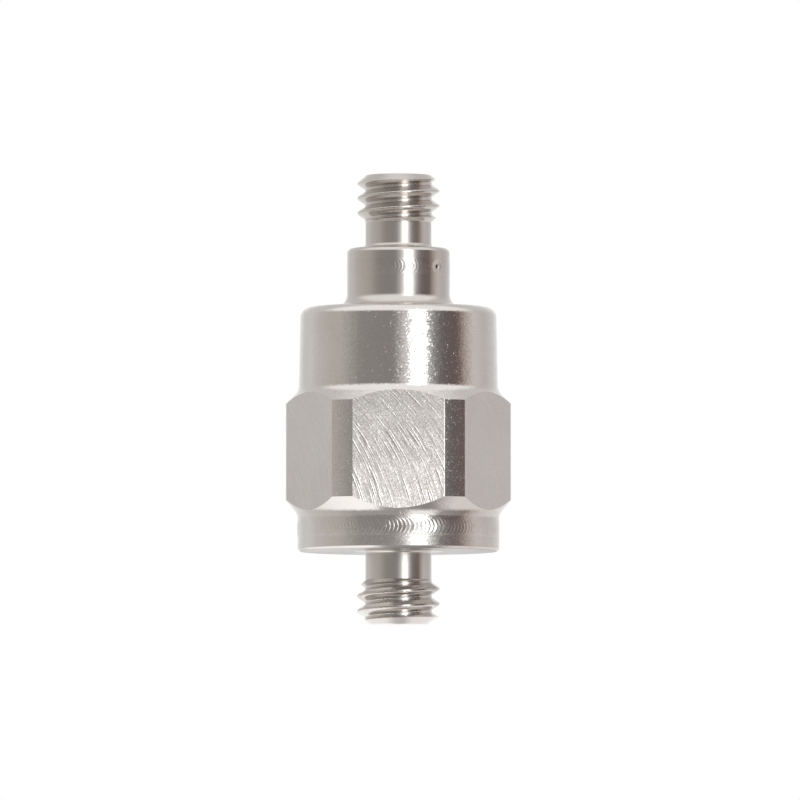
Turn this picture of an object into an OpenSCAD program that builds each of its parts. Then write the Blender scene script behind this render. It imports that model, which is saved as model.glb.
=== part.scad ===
// Miniature shear-type vibration sensor: a threaded mounting stud below, a turned body with six
// milled wrench flats, a welded collar and a small threaded coaxial jack on top.
// Millimetres, +Z up along the sensing axis, origin at the centre of the mounting face.

/* [Mounting stud] */
// Major diameter of the stud's thread
stud_d = 3.175; // [3.05:0.005:3.3]
// Length of the stud below the mounting face
stud_len = 2.81; // [2.6:0.01:4]
// Diameter of the plain relief between the mounting face and the thread
stud_relief_d = 2.55; // [2.4:0.01:2.7]
// Length of the relief
stud_relief_len = 1.09; // [0.8:0.01:1.2]
// Diameter of the stud's end face
stud_tip_d = 2.28; // [2.1:0.02:2.5]
// Length of the chamfer that leads to the end face
stud_tip_len = 0.33; // [0.2:0.01:0.45]
// Fillet where the stud leaves the base
stud_root_fillet = 0.12; // [0.05:0.01:0.2]

/* [Base] */
// Diameter of the base disc
base_d = 7.78; // [7.6:0.02:7.9]
// Height of the lower weld seam above the mounting face
base_h = 0.88; // [0.7:0.02:1.1]
// Chamfer around the mounting face
base_edge = 0.1; // [0.05:0.01:0.2]
// Depth of the relieved ring around the stud, which keeps its fillet clear of the tapped hole
face_relief = 0.04; // [0.02:0.005:0.08]
// Width of that ring outside the stud's thread
face_relief_w = 0.15; // [0.1:0.01:0.3]
// Height of the spigot that centres the housing on the base
spigot_h = 0.67; // [0.4:0.01:0.9]

/* [Wrench flats] */
// Distance across opposite wrench flats
hex_af = 7.94; // [7.9:0.01:8.1]
// Turned diameter left on the corners between the flats
hex_od = 8.7; // [8.5:0.02:9]
// Height of the lower edge of the turned corners
hex_bottom = 1.98; // [1.8:0.02:2.4]
// Length of the turned corners
hex_len = 3.72; // [3:0.02:4.2]
// Slope of the lower chamfer, from the axis
hex_low_angle = 41; // [35:1:50]
// Slope of the upper chamfer, from the axis
hex_top_angle = 45; // [38:1:52]
// Fillet radius that blends each chamfer into the round body
hex_fillet = 0.5; // [0.3:0.02:0.7]

/* [Upper body] */
// Body diameter just above the wrench flats
body_low_d = 7.69; // [7.5:0.01:7.8]
// Body diameter at the shoulder
body_top_d = 7.56; // [7.3:0.01:7.7]
// Height of the shoulder above the mounting face
shoulder_z = 9.43; // [9.1:0.01:10]
// Rounding of the shoulder's edge
shoulder_round = 0.39; // [0.2:0.01:0.5]
// Diameter of the cavity that holds the sensing element
cavity_d = 6.5; // [6.3:0.02:6.7]
// Thickness of the roof over the cavity
roof_t = 0.68; // [0.5:0.02:0.9]

/* [Collar] */
// Diameter of the collar
collar_d = 3.96; // [3.8:0.02:4.2]
// Height of the upper weld seam above the shoulder
collar_h = 1.52; // [1.3:0.02:1.8]
// Fillet between the shoulder and the collar
collar_fillet = 0.52; // [0.3:0.02:0.6]

/* [Coaxial jack] */
// Height of the jack's flange, which continues the collar above the seam
flange_h = 0.77; // [0.5:0.01:1]
// Rounding of the flange's upper edge
flange_round = 0.2; // [0.05:0.01:0.3]
// Diameter of the plain neck under the thread
neck_d = 2.54; // [2.4:0.02:2.7]
// Length of the neck
neck_len = 1.01; // [0.8:0.01:1.3]
// Fillet between the flange and the neck
neck_fillet = 0.2; // [0.05:0.01:0.3]
// Major diameter of the jack's thread
jack_d = 3.175; // [3.05:0.005:3.3]
// Length from the neck to the jack's end face
jack_len = 1.82; // [1.6:0.01:3]
// Outer diameter of the jack's end face
jack_tip_d = 2.52; // [2.4:0.02:2.7]
// Length of the chamfer that leads to the end face
jack_tip_len = 0.3; // [0.2:0.01:0.4]
// Diameter of the jack's open mouth
mouth_d = 2.04; // [1.9:0.02:2.1]
// Depth of the mouth to the step that carries the insulator
mouth_depth = 2.2; // [1.9:0.02:2.4]
// Diameter of the bore under the mouth
seal_d = 1.5; // [1.3:0.02:1.6]
// Diameter of the spigot that enters the collar
jack_spigot_d = 2.6; // [2.4:0.02:2.8]
// Length of the spigot below the seam
jack_spigot_len = 1.35; // [1.1:0.01:1.5]

/* [Centre contact] */
// Diameter of the socket that takes the plug's pin
socket_d = 0.9; // [0.8:0.02:1]
// Diameter of the hole in the socket
socket_hole_d = 0.5; // [0.4:0.02:0.6]
// Depth of the hole in the socket
socket_hole_depth = 1.6; // [1.2:0.02:1.8]
// How far the socket stops short of the jack's end face
socket_recess = 0.3; // [0.1:0.02:0.5]
// Width of the slot that lets the socket's two fingers spring
socket_slot_w = 0.1; // [0.06:0.01:0.12]
// Depth of that slot
socket_slot_depth = 0.9; // [0.5:0.02:1.1]
// Diameter of the pin that passes through the glass
pin_d = 0.46; // [0.4:0.02:0.6]
// Length of the pin that stands out below the glass
pin_tail = 0.75; // [0.5:0.01:1]
// Height of the glass seal
glass_h = 1.2; // [0.9:0.02:1.4]
// Height of the glass above the foot of the jack's spigot
glass_lift = 0.5; // [0.2:0.02:0.6]
// Thickness of the insulator's flange on the mouth's step
insulator_flange = 0.25; // [0.15:0.01:0.4]

/* [Sensing element] */
// Turned diameter of the centre post
post_d = 2.5; // [2.4:0.02:2.7]
// Distance from the axis to each of the post's three flats
post_flat = 0.85; // [0.8:0.01:0.9]
// Thickness of a crystal plate
crystal_t = 0.4; // [0.35:0.01:0.45]
// Width of a crystal plate
crystal_w = 1.7; // [1.4:0.02:1.76]
// Height of a crystal plate and of a seismic mass
crystal_h = 2.3; // [1.8:0.02:2.4]
// Gap between the spigot's top and the crystals
element_lift = 0.4; // [0.2:0.02:0.5]
// Outer diameter of the three seismic masses together
mass_od = 4.7; // [4.6:0.02:4.8]
// Width of a seismic mass
mass_w = 3.5; // [3.2:0.02:3.6]
// Wall of the preload ring
ring_t = 0.35; // [0.25:0.01:0.4]
// Height of the preload ring
ring_h = 1.6; // [1.2:0.02:1.8]

/* [Amplifier] */
// Diameter of the ceramic board
board_d = 6; // [5.8:0.02:6.1]
// Thickness of the board
board_t = 0.4; // [0.3:0.01:0.5]
// Diameter of the boss on the post that carries the board
boss_d = 1.5; // [1.2:0.02:1.58]
// Height of the board's underside above the crystals
board_lift = 0.95; // [0.6:0.01:1.1]
// Side of the square amplifier chip
chip_w = 1.3; // [1:0.02:1.5]
// Height of the amplifier chip
chip_h = 0.45; // [0.3:0.01:0.6]
// Length of a chip resistor or capacitor
passive_l = 1; // [0.8:0.02:1.2]
// Width of a chip resistor or capacitor
passive_w = 0.5; // [0.4:0.01:0.6]
// Height of a chip resistor
resistor_h = 0.35; // [0.25:0.01:0.45]
// Height of the capacitor
capacitor_h = 0.5; // [0.4:0.01:0.6]
// Length of a metal end cap on a resistor or capacitor
cap_l = 0.2; // [0.15:0.01:0.25]
// Height by which an end cap stands over the body between
cap_step = 0.03; // [0.01:0.005:0.04]

/* [Leads and fits] */
// Diameter of the internal leads
lead_d = 0.14; // [0.1:0.01:0.18]
// Sideways slack in the lead to the jack
lead_slack = 0.45; // [0.2:0.01:0.6]
// Radial clearance of the spigots in their bores
slip = 0.02; // [0.01:0.005:0.04]

/* [Hidden] */
$fn = 96;
over = 0.01;

steel = [0.72, 0.70, 0.68];
gold = [0.85, 0.68, 0.35];
ceramic = [0.93, 0.92, 0.88];

// Heights along the sensing axis
spigot_z = base_h + spigot_h;
element_z = spigot_z + element_lift;
element_top = element_z + crystal_h;
ring_z = element_z + (crystal_h - ring_h) / 2;
board_z = element_top + board_lift;
board_top = board_z + board_t;
hex_top = hex_bottom + hex_len;
roof_z = shoulder_z - roof_t;
seam_z = shoulder_z + collar_h;
flange_z = seam_z + flange_h;
neck_z = flange_z + neck_len;
jack_z = neck_z + jack_len;
spigot_foot_z = seam_z - jack_spigot_len;
glass_z = spigot_foot_z + glass_lift;
glass_top = glass_z + glass_h;
step_z = jack_z - mouth_depth;
socket_z = jack_z - socket_recess;
pin_z = glass_z - pin_tail;

// Height at which each hex chamfer would meet the round body without its fillet
low_corner_z = hex_bottom - (hex_od - base_d) / 2 / tan(hex_low_angle);
top_corner_z = hex_top + (hex_od - body_low_d) / 2 / tan(hex_top_angle);
body_lean = atan2(shoulder_z - top_corner_z, (body_top_d - body_low_d) / 2);

// Distance from the axis to a seismic mass's inner face
mass_flat = post_flat + crystal_t;

// Places of the parts on the board
chip_x = -1.35;
resistor_x = 1.2;
resistor_y = 1.15;
capacitor_y = 1.5;
signal_angle = 30;
ground_angle = 150;
lead_rings = 16;
lead_sides = 8;

function heading(angle) = [cos(angle), sin(angle)];

// Sliver between a corner and the arc that blends its two edges, which leave it at angles a and b
module corner_blend(corner, a, b, r) {
    half = abs(b - a) / 2;
    reach = r / tan(half);
    middle = heading((a + b) / 2);
    centre = corner + r / sin(half) * middle;
    difference() {
        polygon([corner - over * middle, corner + reach * heading(a), centre, corner + reach * heading(b)]);
        translate(centre) circle(r);
    }
}

// Half section of the base: disc, spigot and stud
module base_section() {
    relief_r = stud_relief_d / 2;
    seat_r = stud_d / 2 + face_relief_w;
    lead_in = (stud_d - stud_relief_d) / 2;
    polygon([
        [0, -stud_len],
        [stud_tip_d / 2, -stud_len],
        [stud_d / 2, stud_tip_len - stud_len],
        [stud_d / 2, -stud_relief_len - lead_in],
        [relief_r, -stud_relief_len],
        [relief_r, face_relief],
        [seat_r, face_relief],
        [seat_r, 0],
        [base_d / 2 - base_edge, 0],
        [base_d / 2, base_edge],
        [base_d / 2, base_h],
        [cavity_d / 2 - slip, base_h],
        [cavity_d / 2 - slip, spigot_z],
        [0, spigot_z]
    ]);
    corner_blend([relief_r, face_relief], -90, 0, stud_root_fillet);
}

// Half section of the housing's outside, from the lower seam to the upper one
module housing_section() {
    body_r = body_low_d / 2;
    difference() {
        union() {
            polygon([
                [0, base_h],
                [base_d / 2, base_h],
                [base_d / 2, low_corner_z],
                [hex_od / 2, hex_bottom],
                [hex_od / 2, hex_top],
                [body_r, top_corner_z],
                [body_top_d / 2, shoulder_z],
                [collar_d / 2, shoulder_z],
                [collar_d / 2, seam_z],
                [0, seam_z]
            ]);
            corner_blend([base_d / 2, low_corner_z], -90, 90 - hex_low_angle, hex_fillet);
            corner_blend([body_r, top_corner_z], hex_top_angle - 90, body_lean, hex_fillet);
            corner_blend([collar_d / 2, shoulder_z], 0, 90, collar_fillet);
        }
        corner_blend([body_top_d / 2, shoulder_z], 180, 180 + body_lean, shoulder_round);
    }
}

// Half section of the jack's shell without its bores
module shell_section() {
    lead_in = (jack_d - neck_d) / 2;
    difference() {
        polygon([
            [0, spigot_foot_z],
            [jack_spigot_d / 2, spigot_foot_z],
            [jack_spigot_d / 2, seam_z],
            [collar_d / 2, seam_z],
            [collar_d / 2, flange_z],
            [neck_d / 2, flange_z],
            [neck_d / 2, neck_z],
            [jack_d / 2, neck_z + lead_in],
            [jack_d / 2, jack_z - jack_tip_len],
            [jack_tip_d / 2, jack_z],
            [0, jack_z]
        ]);
        corner_blend([collar_d / 2, flange_z], 180, 270, flange_round);
    }
    corner_blend([neck_d / 2, flange_z], 0, 90, neck_fillet);
}

// Cylinder standing between two heights
module rod(d, z0, z1) {
    translate([0, 0, z0]) cylinder(d = d, h = z1 - z0);
}

// One of the three places around the post
module station(index) {
    rotate(120 * (index - 1) - 90) children();
}

// Round post with three flats for the crystals, and a boss on top for the board
module post() {
    intersection() {
        rod(post_d, spigot_z - over, element_top);
        rotate(-30) rod(4 * post_flat, spigot_z - over, element_top, $fn = 3);
    }
    rod(boss_d, element_top - over, board_z);
}

// Disc, stud and post, made in one piece
module base() {
    color(steel) {
        rotate_extrude() base_section();
        post();
    }
}

// Round bar with six milled flats, bored from below; the flats run out on the chamfers
module housing() {
    color(steel) difference() {
        intersection() {
            rotate_extrude() housing_section();
            rod(hex_af / cos(30), base_h, seam_z, $fn = 6);
        }
        rod(cavity_d, base_h - over, roof_z);
        rod(jack_spigot_d + 2 * slip, roof_z - over, seam_z + over);
    }
}

// Shell of the coaxial jack: spigot, flange, neck and thread blank
module connector_shell() {
    color(steel) difference() {
        rotate_extrude() shell_section();
        rod(seal_d, spigot_foot_z - over, jack_z);
        rod(mouth_d, step_z, jack_z + over);
    }
}

// Glass bead fused between the shell and the pin
module glass_seal() {
    color([0.25, 0.38, 0.36]) difference() {
        rod(seal_d, glass_z, glass_top);
        rod(pin_d, glass_z - over, glass_top + over);
    }
}

// Insulator around the socket, with a flange on the mouth's step
module contact_insulator() {
    color("white") difference() {
        union() {
            rod(seal_d, glass_top, step_z + over);
            rod(mouth_d, step_z, step_z + insulator_flange);
        }
        rod(socket_d, glass_top - over, step_z + insulator_flange + over);
    }
}

// Pin through the glass and the slotted socket that takes the plug's pin
module contact_socket() {
    color(gold) difference() {
        union() {
            rod(pin_d, pin_z, glass_top + over);
            rod(socket_d, glass_top, socket_z);
        }
        rod(socket_hole_d, socket_z - socket_hole_depth, socket_z + over);
        translate([-socket_d, -socket_slot_w / 2, socket_z - socket_slot_depth])
            cube([2 * socket_d, socket_slot_w, socket_slot_depth + over]);
    }
}

// Crystal plate on a flat of the post
module crystal(index) {
    color([0.85, 0.88, 0.9, 0.8]) station(index)
        translate([post_flat, -crystal_w / 2, element_z]) cube([crystal_t, crystal_w, crystal_h]);
}

// Segment of heavy metal outside a crystal
module seismic_mass(index) {
    color([0.42, 0.42, 0.43]) intersection() {
        rod(mass_od, element_z, element_top);
        station(index)
            translate([mass_flat, -mass_w / 2, element_z]) cube([mass_od, mass_w, crystal_h]);
    }
}

// Ring shrunk over the masses, which presses them and the crystals against the post
module preload_ring() {
    color([0.8, 0.6, 0.4]) difference() {
        rod(mass_od + 2 * ring_t, ring_z, ring_z + ring_h);
        rod(mass_od, ring_z - over, ring_z + ring_h + over);
    }
}

// Ceramic disc of the amplifier, bonded on the post's top
module circuit_board() {
    color(ceramic) rod(board_d, board_z, board_top);
}

// Amplifier chip on the board
module amplifier_chip() {
    color([0.12, 0.12, 0.13])
        translate([chip_x - chip_w / 2, -chip_w / 2, board_top]) cube([chip_w, chip_w, chip_h]);
}

// Chip resistor or capacitor: a body between two metal end caps
module passive(x, y, h) {
    translate([x - passive_l / 2, y - passive_w / 2, board_top]) {
        translate([cap_l, cap_step, 0]) cube([passive_l - 2 * cap_l, passive_w - 2 * cap_step, h - cap_step]);
        cube([cap_l, passive_w, h]);
        translate([passive_l - cap_l, 0, 0]) cube([cap_l, passive_w, h]);
    }
}

// Resistor that sets the amplifier's bias
module bias_resistor() {
    color([0.15, 0.16, 0.2]) passive(resistor_x, resistor_y, resistor_h);
}

// Resistor across the crystals
module feedback_resistor() {
    color([0.15, 0.16, 0.2]) passive(resistor_x, -resistor_y, resistor_h);
}

// Capacitor that sets the sensitivity
module range_capacitor() {
    color([0.62, 0.48, 0.34]) passive(chip_x + chip_w / 2, capacitor_y, capacitor_h);
}

// Lead from the preload ring up to the board
module signal_lead() {
    color(gold) rotate(signal_angle)
        translate([(mass_od + ring_t) / 2, 0, 0]) rod(lead_d, ring_z + ring_h, board_z);
}

// Lead from the base up to the board, outside the ring
module ground_lead() {
    inside = mass_od / 2 + ring_t;
    color(gold) rotate(ground_angle)
        translate([(inside + board_d / 2) / 2, 0, 0]) rod(lead_d, spigot_z, board_z);
}

function lead_height(t) = board_top + t * (pin_z - board_top);
function lead_offset(t) = lead_slack * (1 - cos(360 * t)) / 2;
function lead_tilt(t) = atan2(lead_slack * PI * sin(360 * t), pin_z - board_top);
function lead_ring(t) = [
    for (side = [0:lead_sides - 1])
        let (
            angle = 360 * side / lead_sides,
            across = lead_d / 2 * cos(angle),
            tilt = lead_tilt(t)
        )
        [
            lead_offset(t) + across * cos(tilt),
            lead_d / 2 * sin(angle),
            lead_height(t) - across * sin(tilt)
        ]
];

// Slack lead from the board's centre to the jack's pin
module output_lead() {
    points = [for (ring = [0:lead_rings]) each lead_ring(ring / lead_rings)];
    foot = [for (side = [0:lead_sides - 1]) side];
    head = [for (side = [lead_sides - 1:-1:0]) lead_rings * lead_sides + side];
    walls = [
        for (ring = [0:lead_rings - 1], side = [0:lead_sides - 1])
            let (
                low = ring * lead_sides,
                next = (side + 1) % lead_sides
            )
            [low + side, low + lead_sides + side, low + lead_sides + next, low + next]
    ];
    color(gold) polyhedron(points, concat([foot], walls, [head]));
}

base();
housing();
connector_shell();
glass_seal();
contact_insulator();
contact_socket();
crystal(1);  // crystal_1
crystal(2);  // crystal_2
crystal(3);  // crystal_3
seismic_mass(1);  // seismic_mass_1
seismic_mass(2);  // seismic_mass_2
seismic_mass(3);  // seismic_mass_3
preload_ring();
circuit_board();
amplifier_chip();
bias_resistor();
feedback_resistor();
range_capacitor();
signal_lead();
ground_lead();
output_lead();
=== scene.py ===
# %% [markdown]
# A miniature vibration sensor, about 17 mm tall: a turned steel body with six milled wrench flats, a
# threaded stud below and a small threaded coaxial jack on top, joined by two laser welds. The solids
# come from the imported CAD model. This script dresses them: it cuts the real threads, lays the weld
# scales, gives each metal its own finish, and lights everything as in a small product studio.

# %% Load the CAD frame
import math
import bpy
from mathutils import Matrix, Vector


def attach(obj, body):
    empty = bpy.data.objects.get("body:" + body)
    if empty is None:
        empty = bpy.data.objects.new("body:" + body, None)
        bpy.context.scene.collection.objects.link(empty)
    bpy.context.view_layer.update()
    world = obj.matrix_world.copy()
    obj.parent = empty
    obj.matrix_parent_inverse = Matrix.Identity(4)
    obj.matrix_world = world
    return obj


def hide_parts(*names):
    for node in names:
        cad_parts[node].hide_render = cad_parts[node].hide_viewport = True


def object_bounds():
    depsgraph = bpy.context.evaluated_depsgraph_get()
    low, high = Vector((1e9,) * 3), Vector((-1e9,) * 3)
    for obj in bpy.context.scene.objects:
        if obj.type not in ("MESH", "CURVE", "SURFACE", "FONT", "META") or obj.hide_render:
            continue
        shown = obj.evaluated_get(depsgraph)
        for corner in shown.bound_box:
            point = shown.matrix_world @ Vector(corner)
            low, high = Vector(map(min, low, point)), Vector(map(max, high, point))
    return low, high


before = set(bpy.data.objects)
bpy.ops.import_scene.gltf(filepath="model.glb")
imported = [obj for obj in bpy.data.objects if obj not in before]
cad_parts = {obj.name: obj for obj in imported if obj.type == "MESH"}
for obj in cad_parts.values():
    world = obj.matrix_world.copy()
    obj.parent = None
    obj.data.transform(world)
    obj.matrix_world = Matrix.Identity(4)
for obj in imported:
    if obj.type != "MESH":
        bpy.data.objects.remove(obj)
cad_box = [list(corner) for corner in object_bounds()]
print("CAD box in mm:", [[round(1000 * value, 2) for value in corner] for corner in cad_box])

# %% [markdown]
# Node trees are written as code here, so one short helper adds a node, sets its options and feeds its
# inputs. An input is fed by another node's socket or by a plain number. The same helper serves
# geometry trees and materials, because both kinds of tree share their maths nodes. The four sums that
# are needed most get short names of their own.

# %% Helpers for node trees
MM = 0.001


def node(tree, kind, feeds=None, **options):
    made = tree.nodes.new(kind)
    for name, option in options.items():
        setattr(made, name, option)
    for name, value in (feeds or {}).items():
        if isinstance(value, bpy.types.NodeSocket):
            tree.links.new(value, made.inputs[name])
        else:
            made.inputs[name].default_value = value
    return made


def calc(tree, operation, *values):
    return node(tree, "ShaderNodeMath", dict(enumerate(values)), operation=operation).outputs[0]


def plus(tree, first, second):
    return calc(tree, "ADD", first, second)


def minus(tree, first, second):
    return calc(tree, "SUBTRACT", first, second)


def times(tree, first, second):
    return calc(tree, "MULTIPLY", first, second)


def over(tree, first, second):
    return calc(tree, "DIVIDE", first, second)


def rescale(tree, value, low, high, to_low=0.0, to_high=1.0, shape="LINEAR"):
    feeds = {"Value": value, "From Min": low, "From Max": high, "To Min": to_low, "To Max": to_high}
    return node(tree, "ShaderNodeMapRange", feeds, interpolation_type=shape).outputs["Result"]


def split(tree, whole):
    return node(tree, "ShaderNodeSeparateXYZ", {0: whole}).outputs


def joined(tree, x, y, z):
    return node(tree, "ShaderNodeCombineXYZ", {0: x, 1: y, 2: z}).outputs[0]


def vector(tree, operation, first, second=(0.0, 0.0, 0.0)):
    made = node(tree, "ShaderNodeVectorMath", {0: first}, operation=operation)
    slot = made.inputs["Scale"] if operation == "SCALE" else made.inputs[1]
    if isinstance(second, bpy.types.NodeSocket):
        tree.links.new(second, slot)
    else:
        slot.default_value = second
    return made.outputs["Value" if operation == "DOT_PRODUCT" else "Vector"]


def distance_from_axis(tree, x, y):
    return calc(tree, "SQRT", plus(tree, times(tree, x, x), times(tree, y, y)))


def noise(tree, place, scale, detail, roughness=0.5, distortion=0.0):
    feeds = {"Vector": place, "Scale": scale, "Detail": detail}
    feeds |= {"Roughness": roughness, "Distortion": distortion}
    return node(tree, "ShaderNodeTexNoise", feeds).outputs


def tree_of(kind, name, inputs, outputs):
    tree = bpy.data.node_groups.new(name, kind)
    for in_out, sockets in (("INPUT", inputs), ("OUTPUT", outputs)):
        for socket, sort in sockets.items():
            tree.interface.new_socket(socket, in_out=in_out, socket_type="NodeSocket" + sort)
    entry = tree.nodes.new("NodeGroupInput").outputs
    leave = tree.nodes.new("NodeGroupOutput").inputs
    return tree, entry, leave


print("helpers ready")

# %% [markdown]
# Nearly every piece of the sensor was turned on a lathe, so each one starts as a half section: a line
# of corners given by radius and height in millimetres. A third number rounds a corner, as a tool with
# a round nose would. Each straight part gets a point close to either end, so that smooth shading bends
# only in the rounding and long walls stay straight mirrors. Where a thread will be cut, the line gets
# many close points, because the thread can only be as fine as the mesh that carries it.

# %% Half sections
ARC_STEP = math.radians(6)
SUPPORT = 0.03
SUPPORT_SHARE = 0.25
SAME_HEIGHT = 1e-6


def supported(line):
    held = [line[0]]
    for start, end in zip(line, line[1:]):
        share = SUPPORT / (end - start).length
        if share < SUPPORT_SHARE:
            held += [start.lerp(end, share), start.lerp(end, 1 - share)]
        held.append(end)
    return held


def rounded(corners):
    line = []
    for index, (radius, height, *rounding) in enumerate(corners):
        corner = Vector((radius, height))
        if not rounding:
            line.append(corner)
            continue
        before = (Vector(corners[index - 1][:2]) - corner).normalized()
        after = (Vector(corners[index + 1][:2]) - corner).normalized()
        half = before.angle(after) / 2
        middle = (before + after).normalized()
        centre = corner + middle * rounding[0] / math.sin(half)
        start = corner + before * rounding[0] / math.tan(half) - centre
        end = corner + after * rounding[0] / math.tan(half) - centre
        sweep = start.angle_signed(end)
        steps = max(2, round(abs(sweep) / ARC_STEP))
        for step in range(steps + 1):
            turn = -sweep * step / steps
            line.append(centre + Vector((
                start.x * math.cos(turn) - start.y * math.sin(turn),
                start.x * math.sin(turn) + start.y * math.cos(turn),
            )))
    return supported(line)


def with_fine_part(line, low, high, step):
    finer = [line[0]]
    for start, end in zip(line, line[1:]):
        inside = min(start.y, end.y) >= low - SAME_HEIGHT and max(start.y, end.y) <= high + SAME_HEIGHT
        level = abs(start.y - end.y) < SAME_HEIGHT
        parts = max(1, math.ceil((end - start).length / step)) if inside and not level else 1
        finer += [start.lerp(end, part / parts) for part in range(1, parts + 1)]
    return finer


print("half sections are drawn with arcs in steps of", round(math.degrees(ARC_STEP)), "degrees")

# %% [markdown]
# A lathe turns a half section about the axis. Blender's Screw modifier could do that, but a Geometry
# Nodes group keeps it together with the rules that follow, such as the thread. The group makes a
# grid, takes each row's radius and height from the section's points, and rolls the columns around
# the axis. Merging by distance closes the seam and the poles.

# %% Lathe group
MERGE_LIMIT = 1e-7


def lathe_group():
    tree, entry, leave = tree_of(
        "GeometryNodeTree", "Lathe", {"Section": "Geometry", "Columns": "Int"}, {"Turned": "Geometry"}
    )
    rows = node(tree, "GeometryNodeAttributeDomainSize", {0: entry["Section"]}).outputs["Point Count"]
    edge = plus(tree, entry["Columns"], 1.0)
    grid = node(tree, "GeometryNodeMeshGrid", {"Vertices X": edge, "Vertices Y": rows})
    index = node(tree, "GeometryNodeInputIndex").outputs[0]
    place = node(tree, "GeometryNodeInputPosition").outputs[0]
    row = calc(tree, "FLOORED_MODULO", index, rows)
    column = calc(tree, "FLOOR", over(tree, plus(tree, index, 0.5), rows))
    angle = over(tree, times(tree, column, math.tau), entry["Columns"])
    feeds = {"Geometry": entry["Section"], "Value": place, "Index": row}
    point = node(tree, "GeometryNodeSampleIndex", feeds, data_type="FLOAT_VECTOR").outputs[0]
    rolled = node(tree, "ShaderNodeVectorRotate", {"Vector": point, "Angle": angle}, rotation_type="Z_AXIS")
    feeds = {"Geometry": grid.outputs["Mesh"], "Position": rolled.outputs[0]}
    turned = node(tree, "GeometryNodeSetPosition", feeds).outputs[0]
    tree.links.new(turned, leave["Turned"])
    return tree


LATHE = lathe_group()


def turned_on_lathe(tree, entry):
    feeds = {name: entry[name] for name in ("Section", "Columns")}
    return node(tree, "GeometryNodeGroup", feeds, node_tree=LATHE).outputs[0]


def closed(tree, geometry):
    feeds = {"Geometry": geometry, "Distance": MERGE_LIMIT}
    return node(tree, "GeometryNodeMergeByDistance", feeds).outputs[0]


def shaded(tree, geometry, sharp_angle):
    feeds = {"Geometry": geometry, "Shade Smooth": True}
    smooth = node(tree, "GeometryNodeSetShadeSmooth", feeds, domain="FACE").outputs[0]
    bend = node(tree, "GeometryNodeInputMeshEdgeAngle").outputs["Unsigned Angle"]
    sharp = calc(tree, "GREATER_THAN", bend, sharp_angle)
    feeds = {"Geometry": smooth, "Selection": sharp, "Shade Smooth": False}
    return node(tree, "GeometryNodeSetShadeSmooth", feeds, domain="EDGE").outputs[0]


def finished(tree, leave, geometry, *finishes):
    solid = node(tree, "GeometryNodeRealizeInstances", {"Geometry": geometry}).outputs[0]
    for material, chosen in finishes:
        feeds = {"Geometry": solid, "Selection": chosen, "Material": material}
        solid = node(tree, "GeometryNodeSetMaterial", feeds).outputs[0]
    tree.links.new(solid, leave["Piece"])


print("lathe group has", len(LATHE.nodes), "nodes")

# %% [markdown]
# A modifier runs a tree on a section. Its inputs are set by each socket's identifier before the object
# is first evaluated. The result is copied to a plain mesh at once, so that the piece that is kept has
# no modifier and can be measured, exported and printed as it is.

# %% Make a piece from a tree
def grow(name, line, tree, **sizes):
    mesh = bpy.data.meshes.new(name + "_section")
    points = [(point.x * MM, 0.0, point.y * MM) for point in line]
    mesh.from_pydata(points, [(index, index + 1) for index in range(len(points) - 1)], [])
    section = bpy.data.objects.new(name + "_section", mesh)
    bpy.context.scene.collection.objects.link(section)
    rule = section.modifiers.new("rule", "NODES")
    rule.node_group = tree
    for socket in tree.interface.items_tree:
        if socket.in_out == "INPUT" and socket.name in sizes:
            rule[socket.identifier] = sizes.pop(socket.name)
    if sizes:
        raise ValueError(f"{name}: the tree has no input named {sorted(sizes)}")
    view = bpy.context.evaluated_depsgraph_get()
    plain = bpy.data.meshes.new_from_object(section.evaluated_get(view), depsgraph=view)
    bpy.data.objects.remove(section)
    plain.name = name
    piece = bpy.data.objects.new(name, plain)
    bpy.context.scene.collection.objects.link(piece)
    triangles = sum(len(face.vertices) - 2 for face in plain.polygons)
    low = [round(min(vertex.co[axis] for vertex in plain.vertices) / MM, 3) for axis in range(3)]
    high = [round(max(vertex.co[axis] for vertex in plain.vertices) / MM, 3) for axis in range(3)]
    print(f"{name}: {triangles} triangles, from {low} to {high} mm")
    return piece


print("pieces grow from sections drawn in millimetres")

# %% [markdown]
# Shared effects are shader node groups. The first one is the fine grain of a satin finish, made by
# tumbling with small stones: tiny shallow pits all over, which break up the edge of each reflection
# into sparkling specks. A few pits are much steeper than the rest and catch a lamp from far off its
# reflection. The sensor is so small that a Bump node would lose its steps in rounding, so the group
# puts out a small tilt for the surface normal instead, together with a mask for roughness.

# %% Shader group: satin grain
COARSE_SHARE = 0.3
COARSE_SCALE = 0.35
PIT_SPAN = (0.35, 0.65)
MEAN_GRAIN = 0.5 * (1 + COARSE_SHARE)


def grain_group():
    tree, entry, leave = tree_of(
        "ShaderNodeTree",
        "Satin grain",
        {"Scale": "Float", "Slope": "Float", "Steep pits": "Float"},
        {"Tilt": "Vector", "Mask": "Float"},
    )
    place = node(tree, "ShaderNodeTexCoord").outputs["Object"]
    fine = noise(tree, place, entry["Scale"], 1.0, 0.6)
    coarse = noise(tree, place, times(tree, entry["Scale"], COARSE_SCALE), 1.0)
    both = vector(tree, "ADD", fine["Color"], vector(tree, "SCALE", coarse["Color"], COARSE_SHARE))
    around_zero = vector(tree, "SUBTRACT", both, (MEAN_GRAIN, MEAN_GRAIN, MEAN_GRAIN))
    rare = calc(tree, "POWER", vector(tree, "DOT_PRODUCT", around_zero, around_zero), 2.0)
    steeper = plus(tree, times(tree, rare, entry["Steep pits"]), 1.0)
    slope = times(tree, steeper, entry["Slope"])
    tree.links.new(vector(tree, "SCALE", around_zero, slope), leave["Tilt"])
    tree.links.new(rescale(tree, fine["Fac"], *PIT_SPAN), leave["Mask"])
    return tree


GRAIN = grain_group()
print("group:", GRAIN.name)

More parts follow.
